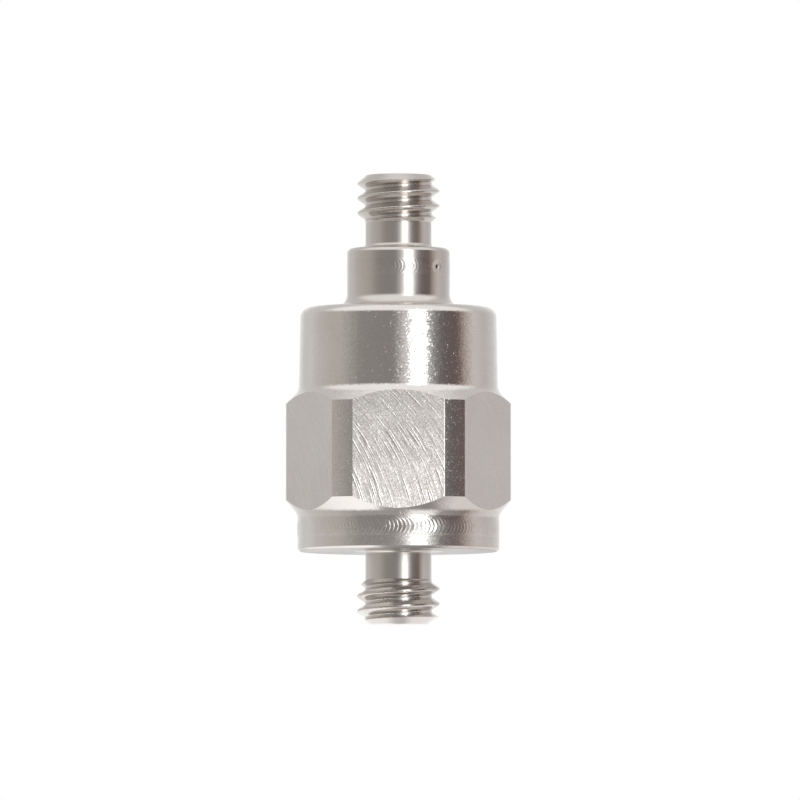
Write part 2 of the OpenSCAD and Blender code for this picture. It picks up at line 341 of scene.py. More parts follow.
# %% [markdown]
# The second group is what a turning tool leaves: very fine grooves around the axis. A noise that only
# knows the radius and the height is the same all the way round, so it draws rings. Walls tilt up and
# down with it, end faces tilt in and out. A second, broader noise weakens the rings here and there,
# because no real groove is perfectly even.

# %% Shader group: turning rings
BREAKS_PER_METRE = 900.0
WEAKEST_RING = 0.3
ON_AXIS = 1e-6


def rings_group():
    tree, entry, leave = tree_of(
        "ShaderNodeTree", "Turning rings", {"Rings per metre": "Float", "Slope": "Float"}, {"Tilt": "Vector"}
    )
    place = node(tree, "ShaderNodeTexCoord").outputs["Object"]
    x, y, z = split(tree, place)
    radius = distance_from_axis(tree, x, y)
    rings = noise(tree, joined(tree, radius, 0.0, z), entry["Rings per metre"], 2.0, 0.7)["Fac"]
    breaks = noise(tree, place, BREAKS_PER_METRE, 1.0)["Fac"]
    share = rescale(tree, breaks, 0.3, 0.7, WEAKEST_RING, 1.0)
    groove = times(tree, minus(tree, rings, 0.5), share)
    amount = times(tree, groove, entry["Slope"])
    outward = over(tree, amount, calc(tree, "MAXIMUM", radius, ON_AXIS))
    tilt = joined(tree, times(tree, x, outward), times(tree, y, outward), amount)
    tree.links.new(tilt, leave["Tilt"])
    return tree


RINGS = rings_group()
print("group:", RINGS.name)

# %% [markdown]
# The third group is handling: faint cloudy patches where fingers and cloths dulled the surface. It
# changes colour and roughness by a few hundredths only, which is enough to keep large plain areas
# from looking computed.

# %% Shader group: handling haze
def haze_group():
    tree, entry, leave = tree_of("ShaderNodeTree", "Handling haze", {"Scale": "Float"}, {"Mask": "Float"})
    place = node(tree, "ShaderNodeTexCoord").outputs["Object"]
    cloud = noise(tree, place, entry["Scale"], 4.0, distortion=0.6)["Fac"]
    tree.links.new(rescale(tree, cloud, 0.3, 0.75, shape="SMOOTHSTEP"), leave["Mask"])
    return tree


HAZE = haze_group()
print("group:", HAZE.name)

# %% [markdown]
# Each material holds its own Principled shader. Metals get their colour from Base Color with Metallic
# at 1; the groups above feed only colour, roughness and the normal. The tilts of several groups add
# up before the normal is brought back to length one.

# %% Material helpers
def blank_material(name):
    material = bpy.data.materials.new(name)
    material.use_nodes = True
    tree = material.node_tree
    shader = tree.nodes["Principled BSDF"]
    return material, tree, shader


def group(tree, shared, **values):
    made = node(tree, "ShaderNodeGroup", node_tree=shared)
    for name, value in values.items():
        made.inputs[name].default_value = value
    return made.outputs


def blended(tree, share, first, second):
    return node(tree, "ShaderNodeMix", {0: share, 6: first, 7: second}, data_type="RGBA").outputs[2]


def tint(tree, mask, low, high):
    return blended(tree, mask, (*low, 1.0), (*high, 1.0))


def relief(tree, shader, *tilts):
    normal = node(tree, "ShaderNodeNewGeometry").outputs["Normal"]
    for tilt in tilts:
        normal = vector(tree, "ADD", normal, tilt)
    tree.links.new(vector(tree, "NORMALIZE", normal), shader.inputs["Normal"])


print("material helpers ready")

# %% [markdown]
# The body's finish is satin steel: pale warm grey, fairly mirror-like, with the tumbled grain. The
# reflection of a lamp keeps its shape on it, but its edges dissolve into specks. The disc at the foot
# is the same steel with a coarser turned surface, so it only glows where the body shines, and its
# mounting face is ground flat. The face's darker grey is partly its ground finish and partly painted
# shade, for the shade under the disc.

# %% Satin steel
HAZE_SCALE = 450.0


def steel(name, dark, light, rough, *tilts):
    material, tree, shader = blank_material(name)
    shader.inputs["Metallic"].default_value = 1.0
    haze = group(tree, HAZE, Scale=HAZE_SCALE)["Mask"]
    tree.links.new(tint(tree, haze, light, dark), shader.inputs["Base Color"])
    tree.links.new(rescale(tree, haze, 0.0, 1.0, *rough), shader.inputs["Roughness"])
    relief(tree, shader, *(group(tree, shared, **values)["Tilt"] for shared, values in tilts))
    return material


PALE = (0.70, 0.68, 0.66)
WARM = (0.67, 0.645, 0.62)
SATIN = steel(
    "satin_steel", WARM, PALE, (0.13, 0.16),
    (GRAIN, {"Scale": 15000.0, "Slope": 0.095, "Steep pits": 380.0}),
)
DISC = steel(
    "disc_steel", WARM, PALE, (0.2, 0.25), (GRAIN, {"Scale": 20000.0, "Slope": 0.2}),
    (RINGS, {"Rings per metre": 16000.0, "Slope": 0.06}),
)
# Painted shade: the mounting face's darker colour is partly its ground finish, partly painted shade under the
# disc.
GROUND_AND_SHADE = steel(
    "ground_steel_painted_shade", (0.53, 0.51, 0.50), (0.565, 0.545, 0.535), (0.3, 0.36),
    (RINGS, {"Rings per metre": 9000.0, "Slope": 0.08}),
)
print("materials:", SATIN.name, DISC.name, GROUND_AND_SHADE.name)

# %% [markdown]
# The jack and the stud are left as they were turned: the tool's rings take the place of the tumbled
# grain and blur a reflection up and down. The threads have rings and some grain, because a thread
# cutter tears the steel more than a fine turning tool does.

# %% Bright and threaded steel
TURNED_PALE = (0.63, 0.605, 0.58)
TURNED_WARM = (0.60, 0.57, 0.54)
BRIGHT = steel(
    "bright_steel", TURNED_WARM, TURNED_PALE, (0.19, 0.24),
    (RINGS, {"Rings per metre": 22000.0, "Slope": 0.05}),
)
NECK = steel(
    "neck_steel", TURNED_WARM, TURNED_PALE, (0.24, 0.28),
    (RINGS, {"Rings per metre": 26000.0, "Slope": 0.06}),
)
FLANK = steel(
    "thread_steel", TURNED_WARM, TURNED_PALE, (0.14, 0.18),
    (RINGS, {"Rings per metre": 30000.0, "Slope": 0.06}),
    (GRAIN, {"Scale": 16000.0, "Slope": 0.06}),
)
print("materials:", BRIGHT.name, NECK.name, FLANK.name)

# %% [markdown]
# The wrench flats were milled last with a wide cutter, whose teeth swept across each flat and left
# arcs. The housing's tree stores where a point lies on its flat, in the attribute milled: across,
# height and the flat's number. Shifting the across value by the cutter's circle straightens the arcs
# into lines, and noises stretched along them draw marks of many widths. A deeper groove has two
# flanks, one turned to the lamp and one away from it, so the same noise is drawn twice, a groove's
# width apart. The teeth cut like little ploughs, so all the marks lean the same way, most at the lower
# end where the cutter entered. At both sides the edge of the flat is broken outwards.

# %% Milled steel
CUTTER_RADIUS = 8.8 * MM
CUTTER_HEIGHT = -0.43 * MM
FLAT_HALF = 1.778 * MM
FLAT_FOOT = 1.6 * MM
FLAT_TOP = 6.1 * MM
FLAT_SHIFT = 0.0137
LEAN_BELOW = 0.087
LEAN_ABOVE = 0.055
EDGE_BREAK = 0.035 * MM
EDGE_SLOPE = 0.15
GROOVES_PER_METRE = 17000.0
GROOVE_STRETCH = 0.03
GROOVE_WIDTH = 0.035 * MM
GROOVE_SPAN = (0.09, 0.14)
LIT_SLOPE = 0.08
FAR_SLOPE = -0.13


def milled_steel():
    material, tree, shader = blank_material("milled_steel")
    shader.inputs["Metallic"].default_value = 1.0
    milled = node(tree, "ShaderNodeAttribute", attribute_name="milled").outputs["Vector"]
    across, height, flat = split(tree, milled)
    rise = minus(tree, height, CUTTER_HEIGHT)
    chord = calc(tree, "SQRT", minus(tree, CUTTER_RADIUS ** 2, times(tree, rise, rise)))
    feed = minus(tree, across, chord)
    turn = calc(tree, "ARCSINE", over(tree, rise, CUTTER_RADIUS))
    sweep = times(tree, turn, CUTTER_RADIUS)
    shift = times(tree, flat, FLAT_SHIFT)

    def lines(scale, stretch, aside=0.0):
        place = joined(tree, plus(tree, feed, aside), times(tree, sweep, stretch), shift)
        return minus(tree, noise(tree, place, scale, 2.0, 0.6)["Fac"], 0.5)

    def flank(aside, steepness):
        drawn = lines(GROOVES_PER_METRE, GROOVE_STRETCH, aside)
        return rescale(tree, drawn, *GROOVE_SPAN, 0.0, steepness, "SMOOTHSTEP")

    marks = [
        times(tree, lines(16000.0, 0.08), 0.15),
        times(tree, lines(9000.0, 0.04), 0.02),
        flank(0.0, LIT_SLOPE),
        flank(GROOVE_WIDTH, FAR_SLOPE),
        rescale(tree, across, FLAT_HALF - EDGE_BREAK, FLAT_HALF, 0.0, EDGE_SLOPE),
        rescale(tree, across, -FLAT_HALF, EDGE_BREAK - FLAT_HALF, -EDGE_SLOPE, 0.0),
    ]
    slope = rescale(tree, height, FLAT_FOOT, FLAT_TOP, LEAN_BELOW, LEAN_ABOVE)
    for mark in marks:
        slope = plus(tree, slope, mark)
    normal = node(tree, "ShaderNodeNewGeometry").outputs["Normal"]
    side = vector(tree, "CROSS_PRODUCT", (0.0, 0.0, 1.0), normal)
    upward = joined(tree, 0.0, 0.0, over(tree, rise, chord))
    square_to_lines = vector(tree, "NORMALIZE", vector(tree, "ADD", side, upward))
    tilt = vector(tree, "SCALE", square_to_lines, slope)
    grain = group(tree, GRAIN, Scale=26000.0, Slope=0.22)
    haze = group(tree, HAZE, Scale=420.0)["Mask"]
    tree.links.new(tint(tree, haze, (0.68, 0.66, 0.64), (0.65, 0.625, 0.605)), shader.inputs["Base Color"])
    tree.links.new(rescale(tree, grain["Mask"], 0.0, 1.0, 0.28, 0.2), shader.inputs["Roughness"])
    relief(tree, shader, tilt, grain["Tilt"])
    return material


MILLED = milled_steel()
print("material:", MILLED.name)

# %% [markdown]
# Threads. A real thread is cut from a turned blank, and the tree works the same way: every point of
# the blank is pulled in to a helical surface where that surface is deeper. The helix is a rule, the
# height minus the turned share of the pitch, so Geometry Nodes can state it exactly. Chamfers and the
# plain neck need no care, because the smaller radius always wins, as with a real cutter.

# %% Threaded bar tree
THREAD_CREASE = math.radians(32)
BORE_SHARE = 0.5


def threaded_tree():
    tree, entry, leave = tree_of(
        "GeometryNodeTree",
        "Threaded bar",
        {
            "Section": "Geometry", "Columns": "Int", "Pitch": "Float", "Crest radius": "Float",
            "Depth": "Float", "Crest height": "Float", "Cut from": "Float", "Cut to": "Float",
            "Crest flat": "Float", "Root flat": "Float", "Softness": "Float", "Bright within": "Float",
            "Face below": "Float",
            "Plain finish": "Material", "Face finish and shade": "Material", "Bright finish": "Material",
            "Thread finish": "Material",
        },
        {"Piece": "Geometry"},
    )
    blank = turned_on_lathe(tree, entry)
    x, y, z = split(tree, node(tree, "GeometryNodeInputPosition").outputs[0])
    radius = distance_from_axis(tree, x, y)
    turn = over(tree, calc(tree, "ARCTAN2", y, x), math.tau)
    climb = over(tree, minus(tree, z, entry["Crest height"]), entry["Pitch"])
    share = calc(tree, "FRACT", minus(tree, climb, turn))
    flank = calc(tree, "ABSOLUTE", minus(tree, times(tree, share, 2.0), 1.0))
    top = minus(tree, 1.0, entry["Crest flat"])
    straight = rescale(tree, flank, entry["Root flat"], top)
    soft = rescale(tree, flank, entry["Root flat"], top, shape="SMOOTHSTEP")
    softened = times(tree, minus(tree, soft, straight), entry["Softness"])
    mixed = plus(tree, straight, softened)
    cut = times(tree, minus(tree, 1.0, mixed), entry["Depth"])
    helix = minus(tree, entry["Crest radius"], cut)
    factor = over(tree, calc(tree, "MINIMUM", radius, helix), radius)
    above = calc(tree, "GREATER_THAN", z, entry["Cut from"])
    below = calc(tree, "LESS_THAN", z, entry["Cut to"])
    outer = calc(tree, "GREATER_THAN", radius, times(tree, entry["Crest radius"], BORE_SHARE))
    chosen = times(tree, times(tree, above, below), outer)
    place = joined(tree, times(tree, x, factor), times(tree, y, factor), z)
    feeds = {"Geometry": blank, "Selection": chosen, "Position": place}
    threaded = node(tree, "GeometryNodeSetPosition", feeds).outputs[0]
    smooth = shaded(tree, closed(tree, threaded), THREAD_CREASE)
    slim = calc(tree, "LESS_THAN", radius, entry["Bright within"])
    low = calc(tree, "LESS_THAN", z, entry["Face below"])
    finished(
        tree, leave, smooth, (entry["Plain finish"], True), (entry["Face finish and shade"], low),
        (entry["Bright finish"], slim), (entry["Thread finish"], chosen),
    )
    return tree


THREADED = threaded_tree()
print("threaded bar tree has", len(THREADED.nodes), "nodes")

# %% [markdown]
# The base: a disc with the flat mounting face, and the stud that screws into the machine. The stud's
# thread ends in a plain relief, so that the face can be tightened down without the thread binding,
# and a small fillet takes the stress at its root.

# %% Base with the stud
THREAD_PITCH = 0.5773 * MM
THREAD_RADIUS = 1.5875 * MM
CREST_RADIUS = THREAD_RADIUS + 0.004 * MM
THREAD_DEPTH = 0.3 * MM
THREAD_COLUMNS = 360
FINE = 0.0125

stud_base_line = with_fine_part(rounded([
    (0, -2.81), (1.14, -2.81, 0.03), (1.5875, -2.48, 0.03), (1.5875, -1.4025), (1.275, -1.09, 0.06),
    (1.275, 0.04, 0.12), (1.75, 0), (3.79, 0, 0.02), (3.89, 0.1, 0.02), (3.89, 0.88),
    (3.23, 0.88), (3.23, 1.55), (0, 1.55),
]), -2.81, -1.09, FINE)
stud_base = grow(
    "stud_base", stud_base_line, THREADED, **{
        "Columns": THREAD_COLUMNS, "Pitch": THREAD_PITCH, "Crest radius": CREST_RADIUS, "Depth": THREAD_DEPTH,
        "Crest height": -2.007 * MM, "Cut from": -3.0 * MM, "Cut to": -1.0 * MM, "Crest flat": 0.1,
        "Root flat": 0.14, "Softness": 0.45, "Bright within": 1.6 * MM, "Face below": 0.03 * MM,
        "Plain finish": DISC, "Face finish and shade": GROUND_AND_SHADE, "Bright finish": BRIGHT, "Thread finish": FLANK,
    }
)

# %% [markdown]
# The jack's shell: a flange that was welded to the housing, a plain neck and the coaxial thread. The
# mouth is bored for the plug, so the section is a closed loop and the piece is a tube.

# %% Jack shell
jack_line = with_fine_part(rounded([
    (0.75, 9.6), (1.3, 9.6), (1.3, 10.95), (1.87, 10.95), (1.87, 11.23), (1.98, 11.23), (1.98, 11.72, 0.2),
    (1.27, 11.72, 0.2), (1.27, 12.73, 0.06), (1.5875, 13.0475), (1.5875, 14.25, 0.03), (1.26, 14.55, 0.03),
    (1.02, 14.55, 0.02), (1.02, 12.35), (0.75, 12.35), (0.75, 9.6),
]), 12.73, 14.55, FINE)
jack_shell = grow(
    "jack_shell", jack_line, THREADED, **{
        "Columns": THREAD_COLUMNS, "Pitch": THREAD_PITCH, "Crest radius": CREST_RADIUS, "Depth": THREAD_DEPTH,
        "Crest height": 13.371 * MM, "Cut from": 12.5 * MM, "Cut to": 14.6 * MM, "Crest flat": 0.06,
        "Root flat": 0.12, "Softness": 0.45, "Bright within": 1.4 * MM, "Face below": 0.0,
        "Plain finish": BRIGHT, "Face finish and shade": BRIGHT, "Bright finish": NECK, "Thread finish": FLANK,
    }
)

# %% [markdown]
# The housing is a round bar with six flats, and its most skilful feature is where each flat runs out:
# on the two chamfer cones it leaves a curved edge, low in the middle and high at the corners. A
# boolean between the turned bar and a six-sided prism gives exactly that curve, as the milling cutter
# did. The same tree, with three sides, also makes the post that carries the crystals inside.

# %% Flatted bar tree
FLAT_CREASE = math.radians(14)
UPRIGHT_LIMIT = 0.001
FLAT_LIMIT = 2e-6


def flatted_tree():
    tree, entry, leave = tree_of(
        "GeometryNodeTree",
        "Flatted bar",
        {
            "Section": "Geometry", "Columns": "Int", "Flats": "Int", "Flat distance": "Float",
            "Turn": "Float", "Length": "Float", "Collar from": "Float", "Round finish": "Material",
            "Collar finish with painted shade": "Material", "Flat finish": "Material",
        },
        {"Piece": "Geometry"},
    )
    bar = closed(tree, turned_on_lathe(tree, entry))
    half_turn = over(tree, math.pi, entry["Flats"])
    reach = over(tree, entry["Flat distance"], calc(tree, "COSINE", half_turn))
    feeds = {"Vertices": entry["Flats"], "Radius": reach, "Depth": entry["Length"]}
    prism = node(tree, "GeometryNodeMeshCylinder", feeds).outputs["Mesh"]
    feeds = {"Geometry": prism, "Rotation": joined(tree, 0.0, 0.0, entry["Turn"])}
    turned = node(tree, "GeometryNodeTransform", feeds).outputs[0]
    both = node(tree, "GeometryNodeMeshBoolean", operation="INTERSECT", solver="EXACT")
    for solid in (bar, turned):
        tree.links.new(solid, both.inputs["Mesh 2"])
    smooth = shaded(tree, both.outputs["Mesh"], FLAT_CREASE)
    place = node(tree, "GeometryNodeInputPosition").outputs[0]
    normal = node(
        tree, "GeometryNodeFieldOnDomain", {0: node(tree, "GeometryNodeInputNormal").outputs[0]},
        data_type="FLOAT_VECTOR", domain="FACE",
    ).outputs[0]
    away = vector(tree, "DOT_PRODUCT", place, normal)
    off = calc(tree, "ABSOLUTE", minus(tree, away, entry["Flat distance"]))
    nx, ny, nz = split(tree, normal)
    upright = calc(tree, "LESS_THAN", calc(tree, "ABSOLUTE", nz), UPRIGHT_LIMIT)
    on_flat = times(tree, upright, calc(tree, "LESS_THAN", off, FLAT_LIMIT))
    side = vector(tree, "CROSS_PRODUCT", (0.0, 0.0, 1.0), normal)
    across = vector(tree, "DOT_PRODUCT", place, side)
    number = over(tree, calc(tree, "ARCTAN2", ny, nx), times(tree, half_turn, 2.0))
    where = joined(tree, across, split(tree, place)[2], calc(tree, "ROUND", number))
    feeds = {"Geometry": smooth, "Name": "milled", "Value": where}
    options = {"data_type": "FLOAT_VECTOR", "domain": "CORNER"}
    marked = node(tree, "GeometryNodeStoreNamedAttribute", feeds, **options).outputs[0]
    # The collar takes the darker turned steel: partly its own turned finish, partly painted shade for the
    # dimmer light around the collar.
    collar = calc(tree, "GREATER_THAN", split(tree, place)[2], entry["Collar from"])
    finished(
        tree, leave, marked, (entry["Round finish"], True), (entry["Collar finish with painted shade"], collar),
        (entry["Flat finish"], on_flat),
    )
    return tree


FLATTED = flatted_tree()
print("flatted bar tree has", len(FLATTED.nodes), "nodes")

# %% [markdown]
# The housing's section follows the CAD values: a straight skirt, a chamfer cone that widens to the
# corners of the hexagon, a steeper cone back to the slightly tapered upper body, the rounded shoulder
# and the collar. The inner loop is the sealed cavity and the hole for the jack's spigot.

# %% Housing and post
PRISM_LENGTH = 40 * MM
PAST_THE_END = 20 * MM

housing_line = rounded([
    (3.25, 0.88), (3.89, 0.88), (3.89, 1.4508, 0.5), (4.35, 1.98), (4.35, 5.7), (3.845, 6.205, 0.5),
    (3.78, 9.43, 0.39), (1.98, 9.43, 0.52), (1.98, 10.67), (1.87, 10.67), (1.87, 10.95), (1.32, 10.95),
    (1.32, 8.75), (3.25, 8.75), (3.25, 0.88),
])
# The collar's darker steel is partly painted shade.
housing_body = grow(
    "housing_body", housing_line, FLATTED, **{
        "Columns": 288, "Flats": 6, "Flat distance": 3.97 * MM, "Turn": 0.0, "Length": PRISM_LENGTH,
        "Collar from": 9.44 * MM, "Round finish": SATIN, "Collar finish with painted shade": BRIGHT, "Flat finish": MILLED,
    }
)
post_line = rounded([(0, 1.54), (1.25, 1.54), (1.25, 4.25), (0.75, 4.25), (0.75, 5.2), (0, 5.2)])
crystal_post = grow(
    "crystal_post", post_line, FLATTED, **{
        "Columns": 96, "Flats": 3, "Flat distance": 0.85 * MM, "Turn": math.pi / 2, "Length": PRISM_LENGTH,
        "Collar from": PAST_THE_END, "Round finish": BRIGHT, "Collar finish with painted shade": BRIGHT, "Flat finish": BRIGHT,
    }
)

# %% [markdown]
# The two seams were closed by a pulsed laser. Each pulse melts a round spot that overlaps the one
# before, so the bead looks like a row of fish scales. A point belongs to the last spot that covers
# it, which is a rule again: the tree finds that spot's number, lifts the scale towards its edge, and
# gives each scale its own strength. The scales are deepest where the bead closes on itself and was
# melted twice. Where the laser stopped, the last spot keeps a small pit.

# %% Weld bead tree
SPOT_STRENGTH = {"Min": 0.5, "Max": 1.3}
MELTED_TWICE = (math.radians(13), math.radians(20))
MELTED_ONCE_SHARE = 0.3
PIT_RIM = (0.75, 1.0)
HOLE_SIZE, HOLE_SHARE = 0.115, 0.75
DISH_SIZE, DISH_SHARE = 0.82, 0.36
BURNT_SIZE = 0.063
SKIN = 0.02 * MM
BEAD_CREASE = math.radians(50)


def weld_tree():
    tree, entry, leave = tree_of(
        "GeometryNodeTree",
        "Weld bead",
        {
            "Section": "Geometry", "Columns": "Int", "Spots": "Int", "Seam height": "Float",
            "Half width": "Float", "Reach": "Float", "Scale lift": "Float", "Dome": "Float", "Seed": "Int",
            "Closing angle": "Float", "Pit angle": "Float", "Pit depth": "Float",
            "Surface radius": "Float", "Finish": "Material", "Pit finish": "Material",
        },
        {"Piece": "Geometry"},
    )
    ring = turned_on_lathe(tree, entry)
    x, y, z = split(tree, node(tree, "GeometryNodeInputPosition").outputs[0])
    radius = distance_from_axis(tree, x, y)
    angle = calc(tree, "ARCTAN2", y, x)
    along = times(tree, over(tree, angle, -math.tau), entry["Spots"])
    across = over(tree, minus(tree, z, entry["Seam height"]), entry["Half width"])
    inside = calc(tree, "MAXIMUM", minus(tree, 1.0, times(tree, across, across)), 0.0)
    reach = times(tree, calc(tree, "SQRT", inside), entry["Reach"])
    edge = plus(tree, along, reach)
    number = calc(tree, "FLOORED_MODULO", calc(tree, "FLOOR", edge), entry["Spots"])
    depth_in = minus(tree, 1.0, calc(tree, "FRACT", edge))
    feeds = {"ID": number, "Seed": entry["Seed"], **SPOT_STRENGTH}
    strength = node(tree, "FunctionNodeRandomValue", feeds, data_type="FLOAT")
    scale = times(tree, times(tree, depth_in, depth_in), entry["Scale lift"])
    scale = times(tree, scale, next(socket for socket in strength.outputs if socket.enabled))
    from_closing = calc(tree, "ABSOLUTE", minus(tree, angle, entry["Closing angle"]))
    twice = rescale(tree, from_closing, *MELTED_TWICE, 1.0, MELTED_ONCE_SHARE, "SMOOTHSTEP")
    fade = times(tree, calc(tree, "POWER", inside, 0.5), twice)
    dome = times(tree, inside, entry["Dome"])
    lift = plus(tree, times(tree, scale, fade), dome)
    from_pit = minus(tree, angle, entry["Pit angle"])
    beside = times(tree, from_pit, entry["Surface radius"])
    beside = over(tree, beside, entry["Half width"])
    apart = plus(tree, times(tree, beside, beside), times(tree, across, across))
    calm = rescale(tree, apart, *PIT_RIM, shape="SMOOTHSTEP")
    has_pit = calc(tree, "GREATER_THAN", entry["Pit depth"], 0.0)
    keep = minus(tree, 1.0, times(tree, has_pit, minus(tree, 1.0, calm)))
    hole = rescale(tree, apart, 0.0, HOLE_SIZE, HOLE_SHARE, 0.0, "SMOOTHSTEP")
    dish = rescale(tree, apart, 0.0, DISH_SIZE, DISH_SHARE, 0.0, "SMOOTHSTEP")
    pit = times(tree, plus(tree, hole, dish), entry["Pit depth"])
    lift = minus(tree, times(tree, lift, keep), pit)
    factor = over(tree, plus(tree, radius, lift), radius)
    skin = calc(tree, "GREATER_THAN", radius, minus(tree, entry["Surface radius"], SKIN))
    place = joined(tree, times(tree, x, factor), times(tree, y, factor), z)
    feeds = {"Geometry": ring, "Selection": skin, "Position": place}
    welded = node(tree, "GeometryNodeSetPosition", feeds).outputs[0]
    smooth = shaded(tree, closed(tree, welded), BEAD_CREASE)
    burnt = times(tree, has_pit, calc(tree, "LESS_THAN", apart, BURNT_SIZE))
    finished(tree, leave, smooth, (entry["Finish"], True), (entry["Pit finish"], burnt))
    return tree


WELD = weld_tree()
print("weld bead tree has", len(WELD.nodes), "nodes")

# %% [markdown]
# Molten steel froze bright and smooth in the bead, with a faint straw colour where it was hottest. The
# pit at the end of the upper bead is dark with oxide.

# %% Weld steel
WELDED = steel("weld_steel", WARM, PALE, (0.14, 0.2), (GRAIN, {"Scale": 11000.0, "Slope": 0.12}))
FINE_WELD = steel(
    "fine_weld_steel", (0.595, 0.555, 0.525), TURNED_PALE, (0.18, 0.24),
    (GRAIN, {"Scale": 11000.0, "Slope": 0.1}),
)
OXIDE = steel(
    "weld_oxide", (0.10, 0.085, 0.08), (0.16, 0.14, 0.13), (0.45, 0.6),
    (GRAIN, {"Scale": 20000.0, "Slope": 0.4}),
)
print("materials:", WELDED.name, FINE_WELD.name, OXIDE.name)

# %% [markdown]
# Both beads run through the same tree, on a thin strip whose outside is the seam's surface. The lower
# one joins the housing to the base: it is wide, and its scales are strong. The upper one joins the jack
# to the collar and was made with a finer beam: its scales hardly show, and it ends in the pit.

# %% Two weld beads
STRIP_DEPTH = 0.1
COLUMNS_PER_SPOT = 12


def bead(name, seam, surface, half, spots, rows, **extra):
    low, high = seam - half, seam + half
    inner = surface - STRIP_DEPTH
    outer = [Vector((surface, low + (high - low) * row / rows)) for row in range(rows + 1)]
    line = [Vector((inner, low)), *outer, Vector((inner, high)), Vector((inner, low))]
    sizes = {
        "Columns": COLUMNS_PER_SPOT * spots, "Spots": spots, "Seam height": seam * MM,
        "Half width": half * MM, "Reach": 2.2, "Scale lift": 0.016 * MM, "Dome": 0.004 * MM, "Seed": 7,
        "Closing angle": math.radians(-79), "Pit angle": math.radians(-40), "Pit depth": 0.0,
        "Surface radius": surface * MM, "Finish": WELDED, "Pit finish": OXIDE,
    }
    return grow(name, line, WELD, **{**sizes, **extra})


lower_weld = bead("lower_weld", 0.85, 3.891, 0.34, 159, 22)
upper_weld = bead("upper_weld", 10.95, 1.981, 0.31, 92, 46, **{
    "Scale lift": 0.003 * MM, "Pit depth": 0.08 * MM, "Seed": 3, "Finish": FINE_WELD,
})

# %% [markdown]
# Inside the jack's mouth stands the gold-plated socket for the plug's pin, slotted so that its two
# fingers spring, in a white sleeve. Both are small, but they are what one sees from above.

# %% Gold plating and sleeve polymer
GOLD = steel(
    "gold_plate", (0.84, 0.60, 0.26), (0.92, 0.69, 0.33), (0.16, 0.26),
    (RINGS, {"Rings per metre": 30000.0, "Slope": 0.05}),
)


def matt(name, dark, light, rough, metallic=0.0, scale=7000.0, slope=0.15):
    material, tree, shader = blank_material(name)
    shader.inputs["Metallic"].default_value = metallic
    grain = group(tree, GRAIN, Scale=scale, Slope=slope)
    haze = group(tree, HAZE, Scale=2 * HAZE_SCALE)["Mask"]
    tree.links.new(tint(tree, haze, light, dark), shader.inputs["Base Color"])
    tree.links.new(rescale(tree, grain["Mask"], 0.0, 1.0, *rough), shader.inputs["Roughness"])
    relief(tree, shader, grain["Tilt"])
    return material


SLEEVE = matt("sleeve_polymer", (0.84, 0.83, 0.79), (0.90, 0.89, 0.86), (0.38, 0.5))
print("materials:", GOLD.name, SLEEVE.name)

# %% [markdown]
# The socket is a turned pin with a bored end, and its slot is a saw cut. The tree does the same: it turns
# the pin and takes a thin block away from the bored end with a boolean, which leaves two fingers with
# square edges.

# %% Slotted socket tree
SAW_LENGTH = 4 * MM
SLOT_CREASE = math.radians(25)


def socket_tree():
    tree, entry, leave = tree_of(
        "GeometryNodeTree",
        "Slotted socket",
        {
            "Section": "Geometry", "Columns": "Int", "Slot width": "Float", "Slot depth": "Float",
            "Top": "Float", "Finish": "Material",
        },
        {"Piece": "Geometry"},
    )
    bar = closed(tree, turned_on_lathe(tree, entry))
    deep = times(tree, entry["Slot depth"], 2.0)
    size = joined(tree, SAW_LENGTH, entry["Slot width"], deep)
    saw = node(tree, "GeometryNodeMeshCube", {"Size": size}).outputs["Mesh"]
    lift = joined(tree, 0.0, 0.0, entry["Top"])
    saw = node(tree, "GeometryNodeTransform", {"Geometry": saw, "Translation": lift}).outputs[0]
    cut = node(tree, "GeometryNodeMeshBoolean", {"Mesh 1": bar}, operation="DIFFERENCE", solver="EXACT")
    tree.links.new(saw, cut.inputs["Mesh 2"])
    finished(tree, leave, shaded(tree, cut.outputs["Mesh"], SLOT_CREASE), (entry["Finish"], True))
    return tree


SOCKET = socket_tree()
print("slotted socket tree has", len(SOCKET.nodes), "nodes")

# %% [markdown]
# The sleeve that holds the socket is a plain turned ring of white polymer with a step. The threaded bar
# tree can turn it too: its cut starts past the end of the piece, so no thread is made.

# %% Socket and sleeve
socket_line = rounded([
    (0, 9.35), (0.23, 9.35), (0.23, 11.3), (0.45, 11.3), (0.45, 14.25, 0.06), (0.25, 14.25, 0.05),
    (0.25, 12.65), (0, 12.65),
])
plug_socket = grow(
    "plug_socket", socket_line, SOCKET, **{
        "Columns": 96, "Slot width": 0.1 * MM, "Slot depth": 0.9 * MM, "Top": 14.25 * MM, "Finish": GOLD,
    }
)
sleeve_line = rounded([
    (0.45, 11.3), (0.75, 11.3), (0.75, 12.35), (1.02, 12.35), (1.02, 12.6, 0.03), (0.45, 12.6, 0.03),
    (0.45, 11.3),
])
plug_sleeve = grow(
    "plug_sleeve", sleeve_line, THREADED, **{
        "Columns": 128, "Pitch": THREAD_PITCH, "Crest radius": 2 * MM, "Depth": 0.0, "Crest height": 0.0,
        "Cut from": PAST_THE_END, "Cut to": PAST_THE_END,
        "Crest flat": 0.1, "Root flat": 0.1, "Softness": 0.0,
        "Bright within": 0.0, "Face below": 0.0, "Plain finish": SLEEVE, "Face finish and shade": SLEEVE,
        "Bright finish": SLEEVE, "Thread finish": SLEEVE,
    }
)

# %% [markdown]
# The pieces inside the sealed housing stay as the CAD made them, but each gets its own finish, so that
# a section view shows glass, crystal, heavy sintered metal, ceramic and epoxy. The small chip parts are
# coloured by the distance from their middle: a dark or brown body between two tinned end caps.

# %% Inner finishes
CAP_FROM = 0.3 * MM
TINNED = (0.74, 0.73, 0.70)


def clear(name, dark, light, rough, transmission, ior):
    material = matt(name, dark, light, rough, slope=0.03)
    shader = material.node_tree.nodes["Principled BSDF"]
    shader.inputs["Transmission Weight"].default_value = transmission
    shader.inputs["IOR"].default_value = ior
    return material


